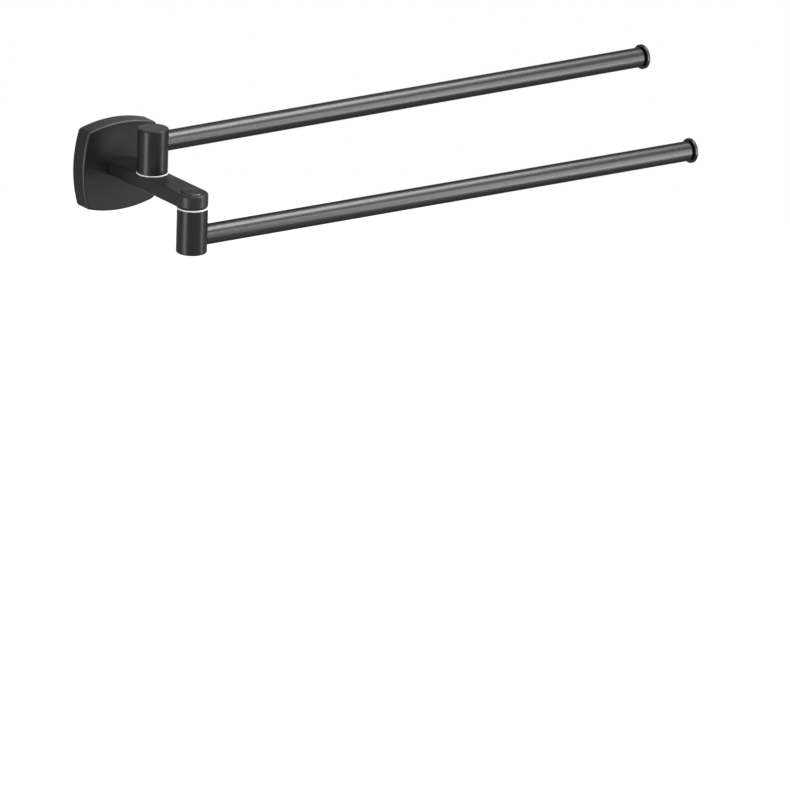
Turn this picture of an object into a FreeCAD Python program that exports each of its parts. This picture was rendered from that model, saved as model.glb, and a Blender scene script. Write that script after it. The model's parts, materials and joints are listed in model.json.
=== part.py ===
import FreeCAD, Part
import math
import os

# Wall-mounted towel holder: a wall plate carries one straight arm, and two bars swing on the arm.
# The rear bar's barrel stands on top of the arm, and the front bar's barrel hangs below it.
# Millimetres. The wall is the plane y = 0, with the origin at the middle of the plate's back.
# +X runs along the wall towards the bars' tips, -Y points out into the room, and +Z is up.

# Wall plate: a hollow cushion-shaped cover, open towards the wall.
plate_corner_half = 31.0  # from the middle to a corner, across and up
plate_side_bulge = 4.8  # how far the middle of each side bows out past its corners
plate_depth = 14.5
plate_wall = 2.0
plate_face_wall = 2.5
plate_corner_round = 3.5
plate_front_round = 1.5
arm_boss_height = 2.5  # thicker patch inside the face, where the arm is screwed on
arm_boss_margin = 1.5  # boss outside the screw washers
top_lug_width = 20.0  # hangs the plate on the bracket
bottom_lug_width = 13.0  # holds the set screw

# Wall bracket: a pressed steel strip with its two ends bent forward.
bracket_width = 36.0
bracket_height = 50.0
bracket_thickness = 2.0
bracket_end_gap = 2.0  # from the bent ends to the inside of the plate's face
bracket_bend_round = 2.5
bracket_corner_round = 4.0
wall_screw_hole_radius = 2.6
wall_screw_edge = 9.0  # from a hole's centre to the bracket's end

# Set screw that pulls the plate down onto the bracket.
set_screw_radius = 2.5
set_screw_recess = 0.5  # below the plate's lower side
set_screw_socket = 2.5  # across flats
set_screw_socket_depth = 2.5
lug_gap = 0.3  # between the bottom lug and the bracket

# Arm and the screws that hold it to the plate.
arm_height = 11.5
arm_edge_round = 2.0
rear_axis_reach = 42.0  # from the plate's face to the rear barrel's axis
pivot_spacing = 56.0  # from the rear barrel's axis to the front one's
arm_screw_radius = 2.5
arm_screw_spacing = 14.0
arm_screw_grip = 10.0  # thread in the arm
arm_screw_end_gap = 2.0  # from a screw's tip to the bottom of its hole
arm_screw_head_radius = 4.25
arm_screw_head_height = 3.2
arm_screw_socket = 3.0
arm_screw_socket_depth = 1.8
arm_washer_radius = 4.6
arm_washer_thickness = 1.2

# Barrels and bars.
barrel_radius = 12.0
barrel_closed_round = 1.2
barrel_open_round = 0.4
barrel_end_wall = 4.25  # from the bar's outside to the barrel's closed end
bar_axis_height = 23.25  # from the barrel's open end up to the bar's axis
barrel_web = 1.2  # between the pivot bolt's hole and the stud's hole
tube_seat_bite = 0.4  # how deep the tube's edge sits in the barrel at its shallowest
stud_barrel_grip = 14.0
bar_reach = 473.0  # from the barrel's axis to the tip
front_bar_swing = 1.5  # degrees that the front bar stands swung out
tube_radius = 8.0
tube_wall = 1.2
tube_plug_length = 16.0
stud_radius = 4.0
stud_end_gap = 3.0  # from the stud's tip to the far face of the plug
end_flange_lip = 2.0  # flange outside the tube
end_flange_thickness = 3.2
end_flange_outer_round = 1.0
end_flange_inner_round = 0.4
end_groove_width = 2.2
end_groove_depth = 1.0
end_plug_length = 12.0
end_plug_wall = 1.6

# Pivot: a bolt through a flanged bush in the arm, under a press-in cover.
pivot_bolt_radius = 4.0
pivot_head_height = 3.0
pivot_head_gap = 1.6  # around the head in its counterbore
pivot_socket = 5.0
pivot_socket_depth = 2.0
pivot_tip_gap = 1.0
bush_wall = 1.5
bush_flange_thickness = 1.2
spring_height = 0.8
spring_thickness = 0.5
thrust_washer_thickness = 1.0
thrust_washer_lip = 0.3  # washer outside the barrel
thrust_washer_round = 0.25
thrust_washer_bore_gap = 0.4
cover_rim = 2.8  # of the arm around the cover's recess
cover_ledge = 0.9  # that the cover rests on
cover_recess_depth = 1.1
cover_proud = 0.9
cover_edge_round = 0.7
cover_plug_length = 1.0
cover_head_gap = 0.4  # from the cover's plug to the bolt's head
cover_gap = 0.25

# Clearances.
running_gap = 0.05  # a shaft that turns in its bush
thread_gap = 0.05  # a plain shank that stands for a thread, in its hole
press_gap = 0.02
seat_gap = 0.1  # a loose fit round a flange or washer
screw_hole_gap = 0.3
cut_overrun = 1.0  # how far a cutting tool runs past a face

# Places worked out from the sizes above.
face_y = -plate_depth
inner_face_y = face_y + plate_face_wall
boss_y = inner_face_y + arm_boss_height
arm_top = arm_height / 2
rear_axis_y = face_y - rear_axis_reach
front_axis_y = rear_axis_y - pivot_spacing
plate_middle_half = plate_corner_half + plate_side_bulge
bracket_end = bracket_height / 2
flange_front_y = inner_face_y + bracket_end_gap
set_screw_y = (flange_front_y - bracket_thickness) / 2

# The pivot's stack, measured along the barrel from the arm's middle plane.
cover_top = -arm_top - cover_proud
cover_seat = -arm_top + cover_recess_depth
head_top = cover_seat + cover_plug_length + cover_head_gap
head_seat = head_top + pivot_head_height
bush_top = head_seat + spring_height
counterbore_floor = bush_top + bush_flange_thickness
barrel_open_end = arm_top + thrust_washer_thickness
bar_axis = barrel_open_end + bar_axis_height
barrel_closed_end = bar_axis + tube_radius + barrel_end_wall
cover_recess_radius = barrel_radius - cover_rim
counterbore_radius = cover_recess_radius - cover_ledge
bush_radius = pivot_bolt_radius + bush_wall
stud_hole_radius = stud_radius + thread_gap
bolt_hole_end = bar_axis - stud_hole_radius - barrel_web
tube_seat = math.sqrt(barrel_radius**2 - tube_radius**2) - tube_seat_bite
tube_end = bar_reach - end_flange_thickness - end_groove_width
stud_tip = tube_seat + tube_plug_length - stud_end_gap

X_AXIS = FreeCAD.Vector(1, 0, 0)
Y_AXIS = FreeCAD.Vector(0, 1, 0)
Z_AXIS = FreeCAD.Vector(0, 0, 1)
ORIGIN = FreeCAD.Vector(0, 0, 0)


def rod(radius, low, high):
    """A round bar along Z."""
    return Part.makeCylinder(radius, high - low, FreeCAD.Vector(0, 0, low))


def ring(outer, inner, low, high):
    """A round washer or sleeve along Z."""
    return rod(outer, low, high).cut(rod(inner, low - cut_overrun, high + cut_overrun))


def block(x_range, y_range, z_range):
    """A box between two limits on each axis."""
    size = [high - low for low, high in (x_range, y_range, z_range)]
    return Part.makeBox(*size, FreeCAD.Vector(x_range[0], y_range[0], z_range[0]))


def hexagon(across_flats, low, high):
    """A six-sided bar along Z, as cut by a hex key."""
    corner = across_flats / math.sqrt(3)
    turns = [math.radians(60 * i) for i in range(7)]
    points = [FreeCAD.Vector(corner * math.cos(t), corner * math.sin(t), low) for t in turns]
    return Part.Face(Part.makePolygon(points)).extrude(Z_AXIS * (high - low))


def pointing_x(shape):
    """Turns what was made along +Z to point along +X."""
    return shape.rotated(ORIGIN, Y_AXIS, 90)


def pointing_y(shape):
    """Turns what was made along +Z to point along -Y."""
    return shape.rotated(ORIGIN, X_AXIS, 90)


def rounded(shape, radius, wanted):
    """Rounds the edges for which wanted(edge's box) is true."""
    edges = [edge for edge in shape.Edges if wanted(edge.BoundBox)]
    return shape.makeFillet(radius, edges)


def at(value, target):
    return abs(value - target) < 1e-4


def flat_at_z(level):
    """Picks the edges that lie wholly at one height."""
    return lambda box: at(box.ZMin, level) and at(box.ZMax, level)


def cushion(inset, corner_round, low_y, high_y):
    """A square block with bowed sides, inset all round from the plate's outline."""
    middle = plate_middle_half - inset
    bow = (plate_corner_half**2 + plate_side_bulge**2) / (2 * plate_side_bulge)
    centre = bow - plate_middle_half
    corner = (math.sqrt(2 * (bow - inset) ** 2 - centre**2) - centre) / 2
    sides = []
    for quarter in range(4):
        turn = FreeCAD.Rotation(Y_AXIS, 90 * quarter)
        start = turn.multVec(FreeCAD.Vector(-corner, low_y, corner))
        crown = turn.multVec(FreeCAD.Vector(0, low_y, middle))
        end = turn.multVec(FreeCAD.Vector(corner, low_y, corner))
        sides.append(Part.Arc(start, crown, end).toShape())
    solid = Part.Face(Part.Wire(sides)).extrude(Y_AXIS * (high_y - low_y))
    return rounded(solid, corner_round, lambda box: box.XLength < 1e-4 and box.ZLength < 1e-4)


def wall_plate():
    outer = cushion(0, plate_corner_round, face_y, 0)
    outer = rounded(outer, plate_front_round, lambda box: at(box.YMin, face_y) and at(box.YMax, face_y))
    inner_round = plate_corner_round - plate_wall
    shell = outer.cut(cushion(plate_wall, inner_round, inner_face_y, cut_overrun))
    lug_y = (inner_face_y, -bracket_thickness - lug_gap)
    lug_end = plate_middle_half - plate_wall / 2
    half_top = top_lug_width / 2
    half_bottom = bottom_lug_width / 2
    shell = shell.fuse(block((-half_top, half_top), lug_y, (bracket_end, lug_end)))
    shell = shell.fuse(block((-half_bottom, half_bottom), lug_y, (-lug_end, -bracket_end - lug_gap)))
    boss_half = arm_screw_spacing / 2 + arm_washer_radius + arm_boss_margin
    boss_rise = arm_washer_radius + arm_boss_margin
    shell = shell.fuse(block((-boss_half, boss_half), (inner_face_y, boss_y), (-boss_rise, boss_rise)))
    for x in arm_screw_places():
        hole = rod(arm_screw_radius + screw_hole_gap, -boss_y - cut_overrun, plate_depth + cut_overrun)
        shell = shell.cut(pointing_y(hole).translated(X_AXIS * x))
    thread = rod(set_screw_radius + thread_gap, -plate_middle_half - cut_overrun, -bracket_end)
    return shell.cut(thread.translated(Y_AXIS * set_screw_y)).removeSplitter()


def wall_bracket():
    half_width = bracket_width / 2
    back = block((-half_width, half_width), (flange_front_y, 0), (-bracket_end, bracket_end))
    bracket = rounded(back, bracket_bend_round, lambda box: at(box.YMin, 0) and box.XLength > half_width)
    bracket = rounded(bracket, bracket_corner_round, lambda box: is_flange_corner(box, half_width))
    inside = bracket_end - bracket_thickness
    hollow_y = (flange_front_y - cut_overrun, -bracket_thickness)
    hollow_x = (-half_width - cut_overrun, half_width + cut_overrun)
    bracket = bracket.cut(block(hollow_x, hollow_y, (-inside, inside)))
    for z in (bracket_end - wall_screw_edge, wall_screw_edge - bracket_end):
        hole = pointing_y(rod(wall_screw_hole_radius, -cut_overrun, bracket_thickness + cut_overrun))
        bracket = bracket.cut(hole.translated(Z_AXIS * z))
    return bracket


def is_flange_corner(box, half_width):
    """The four upright corners at the tips of the bracket's bent ends."""
    return at(box.YMin, flange_front_y) and at(box.YMax, flange_front_y) and box.ZLength > bracket_end


def plate_set_screw():
    low = -plate_middle_half + set_screw_recess
    screw = rod(set_screw_radius, low, -bracket_end)
    socket = hexagon(set_screw_socket, low - cut_overrun, low + set_screw_socket_depth)
    return screw.cut(socket).translated(Y_AXIS * set_screw_y)


def arm_screw_places():
    return (-arm_screw_spacing / 2, arm_screw_spacing / 2)


def arm_screws():
    """Two socket-head screws, from inside the plate into the arm."""
    head_y = -boss_y - arm_washer_thickness
    head = rod(arm_screw_head_radius, head_y - arm_screw_head_height, head_y)
    head_end = head_y - arm_screw_head_height
    head = rounded(head, arm_screw_head_height / 5, flat_at_z(head_end))
    socket = hexagon(arm_screw_socket, head_end - cut_overrun, head_end + arm_screw_socket_depth)
    screw = head.cut(socket).fuse(rod(arm_screw_radius, head_y, plate_depth + arm_screw_grip))
    return Part.makeCompound([pointing_y(screw).translated(X_AXIS * x) for x in arm_screw_places()])


def arm_screw_washers():
    bore = arm_screw_radius + seat_gap
    washer = ring(arm_washer_radius, bore, -boss_y - arm_washer_thickness, -boss_y)
    return Part.makeCompound([pointing_y(washer).translated(X_AXIS * x) for x in arm_screw_places()])


def pivot_bores(overrun):
    """What is cut out of the arm for one pivot, with the barrel's side up."""
    recess = rod(cover_recess_radius, -arm_top - overrun, cover_seat)
    counterbore = rod(counterbore_radius, cover_seat, counterbore_floor)
    return recess.fuse(counterbore).fuse(rod(bush_radius + press_gap, counterbore_floor, arm_top + overrun))


def arm():
    """A flat bar with a round end, the two pivot bores and the screw holes in its foot."""
    half = barrel_radius
    corners = [FreeCAD.Vector(x, y, -arm_top) for x, y in
               ((half, front_axis_y), (half, face_y), (-half, face_y), (-half, front_axis_y))]
    sides = [Part.makeLine(start, end) for start, end in zip(corners, corners[1:])]
    nose = FreeCAD.Vector(0, front_axis_y - half, -arm_top)
    outline = Part.Wire(sides + [Part.Arc(corners[-1], nose, corners[0]).toShape()])
    bar = Part.Face(outline).extrude(Z_AXIS * arm_height)
    bar = rounded(bar, arm_edge_round, lambda box: box.ZLength < 1e-4 and box.YLength > half / 2)
    bar = bar.cut(placed("rear", pivot_bores(cut_overrun)))
    bar = bar.cut(placed("front", pivot_bores(cut_overrun)))
    hole_end = plate_depth + arm_screw_grip + arm_screw_end_gap
    for x in arm_screw_places():
        hole = pointing_y(rod(arm_screw_radius + thread_gap, plate_depth - cut_overrun, hole_end))
        bar = bar.cut(hole.translated(X_AXIS * x))
    return bar


def placed(side, shape):
    """Puts what was made for an upright barrel on the rear or, turned over, on the front pivot."""
    if side == "rear":
        return shape.translated(Y_AXIS * rear_axis_y)
    turned = shape.rotated(ORIGIN, X_AXIS, 180).rotated(ORIGIN, Z_AXIS, -front_bar_swing)
    return turned.translated(Y_AXIS * front_axis_y)


def cover_cap():
    """A low round button that closes the bolt's counterbore."""
    disc = rod(cover_recess_radius - cover_gap, cover_top, cover_seat)
    disc = rounded(disc, cover_edge_round, flat_at_z(cover_top))
    return disc.fuse(rod(counterbore_radius - press_gap, cover_seat, cover_seat + cover_plug_length))


def arm_bush():
    """A flanged sleeve, pressed into the arm, that the bolt turns in."""
    flange = rod(counterbore_radius - seat_gap, bush_top, counterbore_floor)
    sleeve = flange.fuse(rod(bush_radius, counterbore_floor, arm_top))
    bore = rod(pivot_bolt_radius + running_gap, bush_top - cut_overrun, arm_top + cut_overrun)
    return sleeve.cut(bore)


def thrust_washer():
    """The pale ring that shows between the arm and the barrel."""
    washer = ring(
        barrel_radius + thrust_washer_lip,
        pivot_bolt_radius + thrust_washer_bore_gap,
        arm_top,
        barrel_open_end,
    )
    return rounded(washer, thrust_washer_round, lambda box: box.XLength > 2 * barrel_radius)


def pivot_bolt():
    head = rod(counterbore_radius - pivot_head_gap, head_top, head_seat)
    head = head.cut(hexagon(pivot_socket, head_top - cut_overrun, head_top + pivot_socket_depth))
    return head.fuse(rod(pivot_bolt_radius, head_seat, bolt_hole_end - pivot_tip_gap))


def disc_spring():
    """A dished spring washer, which keeps the barrel pulled against the arm."""
    inner = pivot_bolt_radius + 2 * seat_gap
    outer = counterbore_radius - pivot_head_gap
    corners = (
        (inner, head_seat),
        (inner, head_seat + spring_thickness),
        (outer, bush_top),
        (outer, bush_top - spring_thickness),
        (inner, head_seat),
    )
    section = Part.makePolygon([FreeCAD.Vector(r, 0, z) for r, z in corners])
    return Part.Face(section).revolve(ORIGIN, Z_AXIS, 360)


def barrel():
    """A solid turned barrel, tapped for the pivot bolt, with a seat for the tube in its side."""
    body = rod(barrel_radius, barrel_open_end, barrel_closed_end)
    body = rounded(body, barrel_closed_round, flat_at_z(barrel_closed_end))
    body = rounded(body, barrel_open_round, flat_at_z(barrel_open_end))
    body = body.cut(rod(pivot_bolt_radius + thread_gap, barrel_open_end - cut_overrun, bolt_hole_end))
    seat = rod(tube_radius + press_gap, tube_seat, barrel_radius + cut_overrun)
    stud_hole = rod(stud_hole_radius, tube_seat - stud_barrel_grip - thread_gap, tube_seat + cut_overrun)
    return body.cut(on_bar_axis(seat.fuse(stud_hole)))


def on_bar_axis(shape):
    """Lays what was made along Z from the barrel's axis onto the bar's axis."""
    return pointing_x(shape).translated(Z_AXIS * bar_axis)


def tube():
    return on_bar_axis(ring(tube_radius, tube_radius - tube_wall, tube_seat, tube_end))


def tube_plug():
    """A tapped plug fixed in the near end of the tube."""
    plug_end = tube_seat + tube_plug_length
    return on_bar_axis(ring(tube_radius - tube_wall - press_gap, stud_hole_radius, tube_seat, plug_end))


def tube_stud():
    return on_bar_axis(rod(stud_radius, tube_seat - stud_barrel_grip, stud_tip))


def end_cap():
    """A flanged plug in the tube's far end, with a shadow groove behind the flange."""
    flange_start = tube_end + end_groove_width
    flange = rod(tube_radius + end_flange_lip, flange_start, bar_reach)
    flange = rounded(flange, end_flange_outer_round, flat_at_z(bar_reach))
    flange = rounded(flange, end_flange_inner_round, flat_at_z(flange_start))
    neck = rod(tube_radius - end_groove_depth, tube_end, flange_start)
    plug_radius = tube_radius - tube_wall - press_gap
    plug = ring(plug_radius, plug_radius - end_plug_wall, tube_end - end_plug_length, tube_end)
    return on_bar_axis(flange.fuse(neck).fuse(plug))


def save(node, shape):
    shape.exportStep("parts/" + node + ".step")


os.makedirs("parts", exist_ok=True)
save("wall_bracket", wall_bracket())
save("wall_plate", wall_plate())
save("plate_set_screw", plate_set_screw())
save("arm", arm())
save("arm_screws", arm_screws())
save("arm_screw_washers", arm_screw_washers())
pivot_pieces = {
    "cover_cap": cover_cap,
    "arm_bush": arm_bush,
    "thrust_washer": thrust_washer,
    "pivot_bolt": pivot_bolt,
    "disc_spring": disc_spring,
    "barrel": barrel,
    "tube": tube,
    "tube_plug": tube_plug,
    "tube_stud": tube_stud,
    "end_cap": end_cap,
}
for side in ("rear", "front"):
    for piece, make in pivot_pieces.items():
        save(side + "_" + piece, placed(side, make()))
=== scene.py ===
import json
import math

import bmesh
import bpy
from mathutils import Matrix, Quaternion, Vector

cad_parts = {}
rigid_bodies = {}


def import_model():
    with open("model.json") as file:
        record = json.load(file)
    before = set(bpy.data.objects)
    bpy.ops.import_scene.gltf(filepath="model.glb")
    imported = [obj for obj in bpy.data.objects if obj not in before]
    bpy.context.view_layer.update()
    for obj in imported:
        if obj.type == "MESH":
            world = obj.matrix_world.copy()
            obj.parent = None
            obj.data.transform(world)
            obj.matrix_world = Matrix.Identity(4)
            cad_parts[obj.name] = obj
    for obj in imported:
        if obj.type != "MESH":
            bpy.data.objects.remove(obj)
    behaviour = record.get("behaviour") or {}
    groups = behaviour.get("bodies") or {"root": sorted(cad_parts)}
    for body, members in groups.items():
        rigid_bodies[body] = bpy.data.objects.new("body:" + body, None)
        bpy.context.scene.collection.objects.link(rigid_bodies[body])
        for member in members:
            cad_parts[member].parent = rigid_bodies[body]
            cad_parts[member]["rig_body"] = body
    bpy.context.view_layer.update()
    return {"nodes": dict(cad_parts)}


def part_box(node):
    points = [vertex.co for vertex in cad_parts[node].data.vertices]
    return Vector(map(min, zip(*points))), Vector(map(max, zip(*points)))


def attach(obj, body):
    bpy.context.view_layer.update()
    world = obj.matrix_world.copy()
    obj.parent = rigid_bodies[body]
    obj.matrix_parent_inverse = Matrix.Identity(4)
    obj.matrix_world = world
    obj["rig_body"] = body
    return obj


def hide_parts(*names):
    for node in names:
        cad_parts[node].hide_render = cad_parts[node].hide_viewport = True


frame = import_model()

mm = 0.001

# ---------------------------------------------------------------------------------------
# Camera: a long lens well back in the room, left of the wall plate and above it.
# It leans a little, so upright edges stand two degrees off the picture's sides.

camera_heading = math.radians(-35.98)
camera_rise = math.radians(19.08)
camera_lean = math.radians(2.0)
camera_distance = 6361.4 * mm
camera_aim = Vector((143.4, -187.4, -160.9)) * mm
sensor_width = 36.0
picture_width = 790
focal_length_px = 8208.0


def towards(heading, rise):
    """The direction from the object to a place in the room; heading 0 is straight out from the wall."""
    level = math.cos(rise)
    return Vector((math.sin(heading) * level, -math.cos(heading) * level, math.sin(rise)))


camera_data = bpy.data.cameras.new("camera")
camera_data.sensor_width = sensor_width
camera_data.lens = sensor_width * focal_length_px / picture_width
camera_data.clip_start = 0.1
camera_data.clip_end = 40.0
camera = bpy.data.objects.new("camera", camera_data)
bpy.context.scene.collection.objects.link(camera)
camera_back = towards(camera_heading, camera_rise)
camera.location = camera_aim + camera_back * camera_distance
camera.rotation_mode = "QUATERNION"
camera.rotation_quaternion = camera_back.to_track_quat("Z", "Y") @ Quaternion((0, 0, 1), camera_lean)
bpy.context.scene.camera = camera
bpy.context.scene.view_settings.view_transform = "Standard"

# ---------------------------------------------------------------------------------------
# Studio: a plain white room. Six soft boxes stand round the object, and each draws one
# band on the coat: along the tubes, down the barrels' sides and over the upper faces.


class Signal:
    """An output socket of a shader node. Arithmetic on it adds Math nodes to the same tree."""

    def __init__(self, socket):
        self.socket = socket

    def math(self, operation, first, second):
        """One Math node on two signals or numbers."""
        tree = self.socket.id_data
        return add_node(tree, "ShaderNodeMath", {"operation": operation}, {0: first, 1: second})

    def __add__(self, other):
        return self.math("ADD", self, other)

    def __sub__(self, other):
        return self.math("SUBTRACT", self, other)

    def __rsub__(self, other):
        return self.math("SUBTRACT", other, self)

    def __mul__(self, other):
        return self.math("MULTIPLY", self, other)

    def larger(self, other):
        return self.math("MAXIMUM", self, other)

    __radd__ = __add__
    __rmul__ = __mul__


def add_node(tree, kind, settings, inputs, output=0):
    """Adds one shader node: its settings first, then each input's value or link. Gives one output."""
    node = tree.nodes.new(kind)
    for name, value in settings.items():
        setattr(node, name, value)
    for name, value in inputs.items():
        if isinstance(value, Signal):
            tree.links.new(value.socket, node.inputs[name])
        else:
            node.inputs[name].default_value = value
    return Signal(node.outputs[output])


def shown(tree, straight, mirrored):
    """A brightness seen straight by the lens, and one seen in gloss or glass. It casts no soft light."""
    camera_ray, glossy_ray, clear_ray = (
        add_node(tree, "ShaderNodeLightPath", {}, {}, "Is " + ray + " Ray")
        for ray in ("Camera", "Glossy", "Transmission")
    )
    return camera_ray * straight + glossy_ray.larger(clear_ray) * mirrored


def grey(shade):
    """A colour with equal red, green and blue."""
    return (shade, shade, shade, 1)


floor_height = -4.5
floor_radius = 14.0
floor_sides = 96
floor_shade = 0.9
floor_roughness = 0.9
floor_glow = 0.82  # seen by the lens on top of the lamps' light
mirrored_glow = 0.62  # seen in the gloss of the coats
room_light = 0.32  # of full white, from all round

world = bpy.data.worlds.new("white_room")
world.use_nodes = True
room = world.node_tree
background = room.nodes["Background"]
background.inputs["Color"].default_value = grey(1)
shown_light = shown(room, 1 - room_light, 1 - room_light) + room_light
room.links.new(shown_light.socket, background.inputs["Strength"])
bpy.context.scene.world = world

floor_mesh = bmesh.new()
bmesh.ops.create_circle(
    floor_mesh,
    cap_ends=True,
    segments=floor_sides,
    radius=floor_radius,
    matrix=Matrix.Translation((0, 0, floor_height)),
)
floor_data = bpy.data.meshes.new("floor")
floor_mesh.to_mesh(floor_data)
floor_mesh.free()
floor = bpy.data.objects.new("floor", floor_data)
bpy.context.scene.collection.objects.link(floor)
floor_paint = bpy.data.materials.new("floor_paint")
floor_paint.use_nodes = True
paint_tree = floor_paint.node_tree
paint = paint_tree.nodes["Principled BSDF"]
paint.inputs["Base Color"].default_value = grey(floor_shade)
paint.inputs["Roughness"].default_value = floor_roughness
paint.inputs["Emission Strength"].default_value = 1.0
glow = shown(paint_tree, floor_glow, mirrored_glow)
paint_tree.links.new(glow.socket, paint.inputs["Emission Color"])
floor_data.materials.append(floor_paint)

lamp_aim = Vector((30, -70, 0)) * mm  # on the arm, near its middle


def soft_box(name, heading, rise, distance, size, power):
    """A rectangular lamp with a white diffuser. Its heading and rise, seen from the arm, are in degrees."""
    lamp = bpy.data.lights.new(name, "AREA")
    lamp.shape = "RECTANGLE"
    lamp.size, lamp.size_y = size
    lamp.energy = power
    box = bpy.data.objects.new(name, lamp)
    place = towards(math.radians(heading), math.radians(rise))
    box.location = lamp_aim + place * distance
    box.rotation_mode = "QUATERNION"
    box.rotation_quaternion = place.to_track_quat("Z", "Y")
    box.visible_camera = False
    bpy.context.scene.collection.objects.link(box)


soft_box("tube_light", heading=68, rise=55, distance=1.7, size=(1.35, 0.34), power=31.0)
soft_box("front_light", heading=38, rise=16, distance=2.0, size=(0.70, 0.60), power=12.0)
soft_box("right_light", heading=43, rise=-8, distance=1.6, size=(0.42, 0.65), power=11.5)
soft_box("left_light", heading=-86, rise=-10, distance=1.6, size=(0.52, 0.60), power=14.0)
soft_box("back_light", heading=144, rise=36, distance=1.8, size=(0.90, 0.45), power=3.0)
soft_box("top_light", heading=4, rise=70, distance=1.8, size=(1.00, 0.32), power=11.0)

# ---------------------------------------------------------------------------------------
# Wall bracket: a strip of sheet steel, pressed to shape and zinc plated.
# Two screws hold it to the wall, and the plate hangs on its bent ends.

mix_colours = (6, 7)  # the numbers of the Mix node's colour inputs
mix_result = 2  # and of its colour output


class Finish:
    """A material in the making: one Principled shader and the nodes that feed it."""

    def __init__(self, name, **constants):
        self.material = bpy.data.materials.new(name)
        self.material.use_nodes = True
        self.tree = self.material.node_tree
        for socket, value in constants.items():
            self.socket(socket).default_value = value
        self.place = self.node("ShaderNodeTexCoord", {}, {}, "Object")

    def socket(self, name):
        """The shader's input of that name, written as in base_color."""
        label = name.replace("_", " ").title().replace("Ior", "IOR")
        return self.tree.nodes["Principled BSDF"].inputs[label]

    def node(self, kind, settings, inputs, output=0):
        return add_node(self.tree, kind, settings, inputs, output)

    def axis(self, name):
        """One coordinate of the point being shaded."""
        return self.node("ShaderNodeSeparateXYZ", {}, {0: self.place}, name)

    def moved(self, centre=(0, 0, 0), turn=(0, 0, 0), stretch=(1, 1, 1)):
        """The point as seen from a centre, turned, with each axis stretched."""
        settings = {"vector_type": "TEXTURE"}
        inputs = {"Vector": self.place, "Location": centre, "Rotation": turn, "Scale": stretch}
        return self.node("ShaderNodeMapping", settings, inputs)

    def noise(self, size, detail=2.0, place=None):
        """Soft random spots about as wide as size, from 0 to 1."""
        inputs = {"Vector": place or self.place, "Scale": 1 / size, "Detail": detail}
        return self.node("ShaderNodeTexNoise", {}, inputs)

    def colour(self, factor, first, second):
        """A mix of two colours, given as signals, as greys or as red, green and blue."""
        inputs = {0: factor}
        for socket, shade in zip(mix_colours, (first, second)):
            if isinstance(shade, tuple):
                shade = (*shade, 1)
            elif not isinstance(shade, Signal):
                shade = grey(shade)
            inputs[socket] = shade
        return self.node("ShaderNodeMix", {"data_type": "RGBA"}, inputs, mix_result)

    def relief(self, height, depth):
        """Turns a height from 0 to 1 into a bump of that depth."""
        return self.node("ShaderNodeBump", {}, {"Strength": 1.0, "Distance": depth, "Height": height})

    def feed(self, **signals):
        """Links signals to the shader's sockets, and gives the finished material."""
        for name, signal in signals.items():
            self.tree.links.new(signal.socket, self.socket(name))
        return self.material


zinc_blue = (0.28, 0.30, 0.34)
zinc_straw = (0.54, 0.52, 0.46)


def paint_node(node, material):
    """Gives a CAD node its finish."""
    for material_slot in frame["nodes"][node].material_slots:
        material_slot.material = material


def zinc_plate():
    """Bright zinc on pressed or rolled steel: cloudy, faintly blue and yellow, with fine scratches."""
    finish = Finish("zinc_plate", metallic=1.0)
    cloud = finish.noise(7 * mm, 4.0)
    mottle = finish.noise(1.6 * mm, 3.0)
    scratch = finish.noise(0.5 * mm, 4.0, finish.moved(turn=(0.3, 0.5, 0.7), stretch=(18, 1, 1)))
    grain = finish.noise(0.35 * mm)
    shade = cloud * 1.5 + mottle - 0.75  # half way between the two colours on average
    return finish.feed(
        base_color=finish.colour(shade, zinc_blue, zinc_straw),
        roughness=0.22 + cloud * 0.16 + scratch * 0.12,
        normal=finish.relief(scratch * 0.6 + grain * 0.4, 0.03 * mm),
    )


zinc = zinc_plate()
paint_node("wall_bracket", zinc)

# ---------------------------------------------------------------------------------------
# Wall plate: a hollow die casting under a dark satin coat, baked on as powder.
# It hangs on the bracket and hides it; the arm is screwed to it from inside.

satin_shade = 0.026
satin_roughness = 0.28
satin_gloss = 0.12
satin_edge = 0.5  # its brightness at a glancing angle
coat_relief = 0.006 * mm
rim_highlight_gain = 2.2  # how much paler the coat is painted on the front rim, as a painted highlight
plate_roughness = 0.40
plate_front_round = 1.5 * mm


def satin_coat(name, shade=satin_shade, roughness=satin_roughness, marks=None, painted_highlight=None):
    """A near-black baked coat with fine orange peel. Tool marks show through, and a painted highlight can
    pale an edge.
    """
    finish = Finish(name, metallic=0.65, specular_ior_level=satin_gloss, specular_tint=grey(satin_edge))
    patch = finish.noise(22 * mm)
    peel = finish.noise(0.9 * mm, 1.0)
    speck = finish.noise(0.22 * mm)
    height = peel * 0.8 + speck * 0.2
    if marks:
        height = height + marks(finish)
    base = finish.colour(patch, shade * 0.9, shade * 1.1)
    if painted_highlight:
        # painted highlight: the colour turns paler where the mask is 1, in a line along the rim
        base = finish.colour(painted_highlight(finish), base, shade * rim_highlight_gain)
    return finish.feed(
        base_color=base,
        roughness=roughness + patch * 0.05 + speck * 0.05,
        normal=finish.relief(height, coat_relief),
    )


def front_rim_highlight(finish):
    """1 in the middle of the plate's rounded front rim, where a highlight is painted, and 0 on its face and
    its walls.
    """
    behind_face = finish.axis("Y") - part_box("wall_plate")[0].y
    share = behind_face * (1 / plate_front_round)
    return (share * (1 - share) * 4).larger(0)


# The plate's coat is painted paler along its front rim: a painted highlight.
paint_node("wall_plate", satin_coat("plate_coat", roughness=plate_roughness, painted_highlight=front_rim_highlight))

# ---------------------------------------------------------------------------------------
# Set screw, arm screws and their washers: turned steel, zinc plated.
# The set screw locks the plate from below; the other two draw the arm onto the plate.

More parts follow.
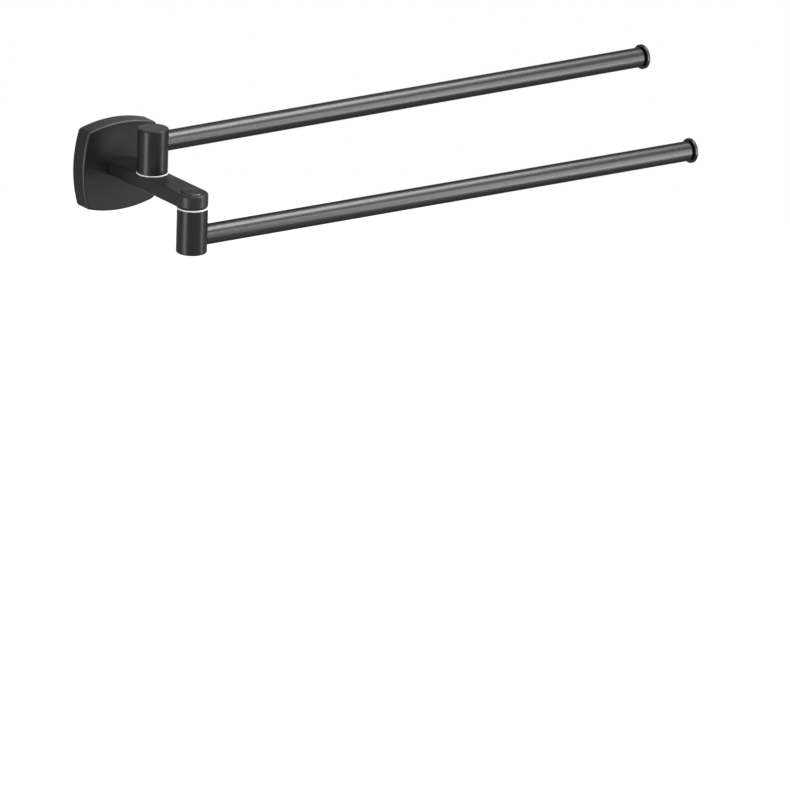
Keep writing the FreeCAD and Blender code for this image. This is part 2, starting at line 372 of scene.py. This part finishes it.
turn_steps = 48
thread_steps = 24
thread_depth = 0.6  # of the pitch
thread_start = 2  # turns made below the thread's lower end, then cut off
thread_spare = 3  # turns made in all beyond its length
metric_pitch = {2.5: 0.8, 4.0: 1.25}  # of the screws used here, by their radius
screw_chamfer = 0.4 * mm
hair = 0.01 * mm  # nearer than this is the same place
weld = 0.001 * mm
sharp_edge = math.radians(32)


def turned(bm, outline):
    """Turns an outline of (radius, height) pairs round Z, as a lathe would."""
    points = [bm.verts.new((radius, 0, height)) for radius, height in outline]
    lines = [bm.edges.new(pair) for pair in zip(points, points[1:])]
    bmesh.ops.spin(
        bm,
        geom=points + lines,
        cent=(0, 0, 0),
        axis=(0, 0, 1),
        angle=math.tau,
        steps=turn_steps,
        use_merge=True,
    )


def radius_of(vert):
    """How far a point lies from Z."""
    return math.hypot(vert.co.x, vert.co.y)


def screw_thread(bm, radius, low, high):
    """A rolled right-hand thread along Z, cut square at both ends and chamfered there at 45 degrees."""
    pitch = metric_pitch[round(radius / mm, 1)] * mm
    root = radius - thread_depth * pitch
    turns = math.ceil((high - low) / pitch) + thread_spare
    tooth = ((root, 0), (root, 0.15), (radius, 0.5), (radius, 0.65), (root, 1))
    points = [bm.verts.new((reach, 0, low + (step - thread_start) * pitch)) for reach, step in tooth]
    lines = [bm.edges.new(pair) for pair in zip(points, points[1:])]
    bmesh.ops.spin(
        bm,
        geom=points + lines,
        cent=(0, 0, 0),
        axis=(0, 0, 1),
        dvec=(0, 0, pitch / thread_steps),
        angle=math.tau * turns,
        steps=thread_steps * turns,
    )
    bmesh.ops.remove_doubles(bm, verts=bm.verts, dist=pitch / 1000)
    for level, ends in ((low, {"clear_inner": True}), (high, {"clear_outer": True})):
        geometry = bm.verts[:] + bm.edges[:] + bm.faces[:]
        bmesh.ops.bisect_plane(bm, geom=geometry, plane_co=(0, 0, level), plane_no=(0, 0, 1), **ends)
    bmesh.ops.edgeloop_fill(bm, edges=[edge for edge in bm.edges if edge.is_boundary])
    for vert in bm.verts:
        widest = root + max(0, min(vert.co.z - low, high - vert.co.z))
        if radius_of(vert) > widest:
            vert.co.xy *= widest / radius_of(vert)


def press_socket(bm, across_flats, depth):
    """Gives six sides to the round hole that runs up from a screw's face at height 0."""
    side_turn = math.tau / 6
    for vert in bm.verts:
        in_hole = -hair < vert.co.z < depth + hair
        if in_hole and abs(radius_of(vert) - across_flats / 2) < hair:
            angle = math.atan2(vert.co.y, vert.co.x)
            off_flat = (angle + side_turn / 2) % side_turn - side_turn / 2
            vert.co.xy /= math.cos(off_flat)


def socket_screw(head_radius, head_height, socket, socket_depth, shank_radius, plain, length):
    """A socket-head screw: its head starts at height 0 and its shank points up Z."""
    bm = bmesh.new()
    screw_thread(bm, shank_radius, head_height + plain, length)
    half_socket = socket / 2
    turned(bm, (
        (0, socket_depth),
        (half_socket, socket_depth),
        (half_socket, 0),
        (head_radius - screw_chamfer, 0),
        (head_radius, screw_chamfer),
        (head_radius, head_height),
        (shank_radius, head_height),
        (shank_radius, head_height + plain),
        (0, head_height + plain),
    ))
    press_socket(bm, socket, socket_depth)
    return bm


def stand_in(name, bm, node, material):
    """Finishes a mesh and shows it in place of a CAD node: normals out, smooth between sharp edges."""
    bmesh.ops.remove_doubles(bm, verts=bm.verts, dist=weld)
    bmesh.ops.recalc_face_normals(bm, faces=bm.faces)
    for face in bm.faces:
        face.smooth = True
    mesh = bpy.data.meshes.new(name)
    bm.to_mesh(mesh)
    bm.free()
    mesh.set_sharp_from_angle(angle=sharp_edge)
    mesh.materials.append(material)
    piece = bpy.data.objects.new(name, mesh)
    bpy.context.scene.collection.objects.link(piece)
    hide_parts(node)
    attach(piece, frame["nodes"][node]["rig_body"])


paint_node("arm_screw_washers", zinc)

low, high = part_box("plate_set_screw")
grub_radius = (high.x - low.x) / 2
grub_length = high.z - low.z
grub_socket = 2.5 * mm
grub_socket_depth = 2.5 * mm
grub_rim = 0.5 * mm
grub = bmesh.new()
screw_thread(grub, grub_radius, grub_rim, grub_length)
turned(grub, (
    (0, grub_socket_depth),
    (grub_socket / 2, grub_socket_depth),
    (grub_socket / 2, 0),
    (grub_radius - grub_rim, 0),
    (grub_radius - grub_rim, grub_rim),
    (0, grub_rim),
))
press_socket(grub, grub_socket, grub_socket_depth)
grub.transform(Matrix.Translation(((low.x + high.x) / 2, (low.y + high.y) / 2, low.z)))
stand_in("grub_screw", grub, "plate_set_screw", zinc)

arm_screw_radius = 2.5 * mm
arm_screw_head = 3.2 * mm
arm_screw_plain = 4.0 * mm
arm_screw_socket = 3.0 * mm
arm_screw_socket_depth = 1.8 * mm
low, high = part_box("arm_screws")
head_radius = (high.z - low.z) / 2
both_screws = bmesh.new()
for x in (low.x + head_radius, high.x - head_radius):
    screw = socket_screw(
        head_radius,
        arm_screw_head,
        arm_screw_socket,
        arm_screw_socket_depth,
        arm_screw_radius,
        arm_screw_plain,
        high.y - low.y,
    )
    screw.transform(Matrix.Translation((x, high.y, 0)) @ Matrix.Rotation(math.pi / 2, 4, "X"))
    one_screw = bpy.data.meshes.new("arm_screw")
    screw.to_mesh(one_screw)
    screw.free()
    both_screws.from_mesh(one_screw)
    bpy.data.meshes.remove(one_screw)
stand_in("arm_socket_screws", both_screws, "arm_screws", zinc)

# ---------------------------------------------------------------------------------------
# Arm: a flat bar with a round end, cast and machined, in the same satin coat painted paler, as painted light
# on its shaded top.
# It stands straight out from the plate and carries both pivots.

# painted light: a paler copy of the satin coat, standing in for light on the arm's top
arm_shade_with_painted_light = 0.034
arm_roughness = 0.34
paint_node("arm", satin_coat("arm_coat", arm_shade_with_painted_light, arm_roughness))

# ---------------------------------------------------------------------------------------
# Pivots: each has a nylon bush pressed into the arm, a thin nylon ring under the barrel,
# a plated bolt with a dished spring under its head, and a coated cover over it.

pivot_places = {}
for side in ("rear", "front"):
    low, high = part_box(side + "_thrust_washer")
    pivot_places[side] = (low + high) / 2

bush_shade = (0.72, 0.70, 0.62)
ring_shade = (0.80, 0.80, 0.79)
nylon_cloud = 0.96  # of the shade, in the darker spots
nylon_depth = 0.5 * mm  # that light goes into it


def nylon(name, shade, centre):
    """Moulded nylon: pale, faintly cloudy inside, with fine level lines from its turned mould."""
    finish = Finish(name, subsurface_weight=0.3, subsurface_radius=(1, 1, 1), subsurface_scale=nylon_depth)
    cloud = finish.noise(3 * mm)
    rings = finish.noise(0.3 * mm, 1.0, finish.moved(centre, stretch=(30, 30, 1)))
    dark = tuple(nylon_cloud * part for part in shade)
    return finish.feed(
        base_color=finish.colour(cloud, dark, shade),
        roughness=0.38 + cloud * 0.1,
        normal=finish.relief(rings, 0.01 * mm),
    )


def turned_marks(centre):
    """Rings left by the lathe round an upright axis, as a function of the finish."""
    def marks(finish):
        offset = finish.moved(centre)
        flat = finish.node("ShaderNodeVectorMath", {"operation": "MULTIPLY"}, {0: offset, 1: (1, 1, 0)})
        radius = finish.node("ShaderNodeVectorMath", {"operation": "LENGTH"}, {0: flat}, "Value")
        along = finish.node("ShaderNodeCombineXYZ", {}, {0: radius, 2: finish.axis("Z")})
        return finish.noise(0.25 * mm, 1.0, along) * 0.6
    return marks


def bar_turn(side):
    """How far a bar stands turned about its pivot, from the middle of its tube."""
    low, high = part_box(side + "_tube")
    along = (low + high) / 2 - pivot_places[side]
    return math.atan2(along.y, along.x)


def pivot_frame(side):
    """Moves a piece made round Z to a pivot, in line with its bar. At the front it hangs upside down."""
    place = pivot_places[side]
    upright = Matrix.Translation((place.x, place.y, 0)) @ Matrix.Rotation(bar_turn(side), 4, "Z")
    return upright @ Matrix.Rotation(math.pi if side == "front" else 0, 4, "X")


bolt_radius = 4.0 * mm
bolt_head = 3.0 * mm
bolt_plain = 7.0 * mm
bolt_socket = 5.0 * mm
bolt_socket_depth = 2.0 * mm


def pivot_bolt():
    """The socket-head bolt that a barrel turns with."""
    low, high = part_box("rear_pivot_bolt")
    bolt = socket_screw(
        (high.x - low.x) / 2,
        bolt_head,
        bolt_socket,
        bolt_socket_depth,
        bolt_radius,
        bolt_plain,
        high.z - low.z,
    )
    bolt.transform(Matrix.Translation((0, 0, low.z)))
    return bolt


cover_plug = 1.0 * mm
cover_step = 0.67 * mm  # from the flange's edge in to the plug
cover_flange = 0.4 * mm
cover_side = 0.3 * mm  # from the flange's edge in to the button's side
cover_bevel = 0.65 * mm
cover_ease = 0.08 * mm
cover_dome = 0.2 * mm
# painted light: the cover's coat is paler than the other coated parts, standing in for light on its face
cover_shade_with_painted_light = 0.044
cover_roughness = 0.18
dome_rings = 8


def eased(outline, reach):
    """Cuts the corners off an outline, with a point beside each cut that keeps the shading flat."""
    points = [Vector(point) for point in outline]
    soft = [points[0]]
    for before, corner, after in zip(points, points[1:], points[2:]):
        back, on = ((end - corner).normalized() * reach for end in (before, after))
        soft += [corner + back * 2, corner + back, corner + on, corner + on * 2]
    return soft + [points[-1]]


def cover_button():
    """A turned button: a shallow bevelled dome, the flange that it rests on and the plug that holds it."""
    low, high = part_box("rear_cover_cap")
    radius = (high.x - low.x) / 2
    seat = high.z - cover_plug
    lip = seat - cover_flange
    wall = radius - cover_side
    face = wall - cover_bevel
    bevel = low.z + cover_dome
    shares = [i / dome_rings for i in range(dome_rings)]
    dome = [(face * share, low.z + cover_dome * share**2) for share in shares]
    edge = eased([dome[-1], (face, bevel), (wall, bevel + cover_bevel), (wall, lip)], cover_ease)
    flange = [(radius, lip), (radius, seat)]
    plug = [(radius - cover_step, seat), (radius - cover_step, high.z), (0, high.z)]
    button = bmesh.new()
    turned(button, dome[:-1] + edge + flange + plug)
    return button


for side, place in pivot_places.items():
    paint_node(side + "_arm_bush", nylon(side + "_bush_nylon", bush_shade, place))
    paint_node(side + "_thrust_washer", nylon(side + "_ring_nylon", ring_shade, place))
    paint_node(side + "_disc_spring", zinc)
    bolt = pivot_bolt()
    bolt.transform(pivot_frame(side))
    stand_in(side + "_socket_bolt", bolt, side + "_pivot_bolt", zinc)
    button = cover_button()
    button.transform(pivot_frame(side))
    cover_coat = satin_coat(side + "_cover_coat", cover_shade_with_painted_light, cover_roughness, turned_marks(place))
    stand_in(side + "_cover_button", button, side + "_cover_cap", cover_coat)

# ---------------------------------------------------------------------------------------
# Barrels: turned from solid bar, drilled for the bolt and the stud, and satin coated.
# The rear one stands on the arm, and the front one hangs below the arm's end.

for side, place in pivot_places.items():
    paint_node(side + "_barrel", satin_coat(side + "_barrel_coat", marks=turned_marks(place)))

# ---------------------------------------------------------------------------------------
# Tubes: drawn steel tube with a thin, slightly glossier dark coat.
# Each is seated in its barrel's side and pulled tight by a stud in a tapped plug.
# A turned plug with a flange, in the same coat, closes the tip.

tube_dark = 0.038
tube_pale = 0.046
tube_edge = 0.36
line_stretch = (220, 1, 1)  # of the drawing lines, along the bar


def tube_coat(side):
    """The thin coat on drawn tube: drawing lines run the length of the bar under it."""
    name = side + "_tube_coat"
    finish = Finish(name, metallic=0.95, specular_ior_level=satin_gloss, specular_tint=grey(tube_edge))
    turn = (0, 0, bar_turn(side))
    lines = finish.noise(0.45 * mm, 3.0, finish.moved(pivot_places[side], turn, line_stretch))
    patch = finish.noise(35 * mm)
    speck = finish.noise(0.25 * mm)
    return finish.feed(
        base_color=finish.colour(lines * 0.6 + patch * 0.4, tube_dark, tube_pale),
        roughness=0.29 + lines * 0.04 + patch * 0.04,
        normal=finish.relief(lines * 0.5 + speck * 0.5, coat_relief),
    )


alloy_dark = (0.42, 0.42, 0.43)
alloy_pale = (0.56, 0.56, 0.57)


def cast_alloy():
    """Bare zinc alloy, turned and tapped: dull grey with fine pores."""
    finish = Finish("cast_alloy", metallic=1.0)
    cloud = finish.noise(4 * mm, 3.0)
    pores = finish.noise(0.3 * mm, 4.0)
    return finish.feed(
        base_color=finish.colour(cloud, alloy_dark, alloy_pale),
        roughness=0.40 + pores * 0.2,
        normal=finish.relief(pores, 0.03 * mm),
    )


low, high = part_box("rear_tube_stud")
bar_height = (low.z + high.z) / 2


def along_bar(side):
    """Lays a piece made round Z along one of the bars, with its height measured from the pivot's axis."""
    lifted = pivot_frame(side) @ Matrix.Translation((0, 0, bar_height))
    return lifted @ Matrix.Rotation(math.pi / 2, 4, "Y")


def tube_stud():
    """Threaded rod, cut to length and chamfered."""
    low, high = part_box("rear_tube_stud")
    stud = bmesh.new()
    screw_thread(stud, (high.z - low.z) / 2, low.x, high.x)
    return stud


cap_flange = 3.2 * mm
cap_groove = 2.2 * mm
cap_neck_radius = 7.0 * mm
cap_plug_radius = 6.78 * mm
cap_bore_radius = 5.18 * mm
cap_edge = 0.8 * mm
cap_back_edge = 0.4 * mm
cap_dome = 0.5 * mm
edge_steps = 6


def round_over(bm, radius, height, reach):
    """Rounds a turned piece's edge at that radius and height."""
    ring = []
    for edge in bm.edges:
        gaps = [math.hypot(radius_of(vert) - radius, vert.co.z - height) for vert in edge.verts]
        if max(gaps) < hair:
            ring.append(edge)
    bmesh.ops.bevel(
        bm,
        geom=ring,
        offset=reach,
        affect="EDGES",
        segments=edge_steps,
        profile=0.5,
        material=-1,
    )


def end_cap():
    """A turned plug with a flange: a shallow dome outside, a groove behind it and a hollow shank."""
    low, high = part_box("rear_end_cap")
    radius = (high.z - low.z) / 2
    flange = high.x - cap_flange
    neck = flange - cap_groove
    rim = high.x - cap_dome
    shank = [(0, neck), (cap_bore_radius, neck), (cap_bore_radius, low.x), (cap_plug_radius, low.x)]
    groove = [(cap_plug_radius, neck), (cap_neck_radius, neck), (cap_neck_radius, flange)]
    edge = [(radius, flange), (radius, rim)]
    shares = [i / dome_rings for i in range(dome_rings - 1, -1, -1)]
    dome = [((radius - cap_edge) * share, high.x - cap_dome * share**2) for share in shares]
    cap = bmesh.new()
    turned(cap, shank + groove + edge + dome)
    round_over(cap, radius, flange, cap_back_edge)
    round_over(cap, radius, rim, cap_edge)
    return cap


alloy = cast_alloy()
for side in pivot_places:
    coat = tube_coat(side)
    paint_node(side + "_tube", coat)
    paint_node(side + "_tube_plug", alloy)
    stud = tube_stud()
    stud.transform(along_bar(side))
    stand_in(side + "_threaded_stud", stud, side + "_tube_stud", zinc)
    cap = end_cap()
    cap.transform(along_bar(side))
    stand_in(side + "_tip", cap, side + "_end_cap", coat)
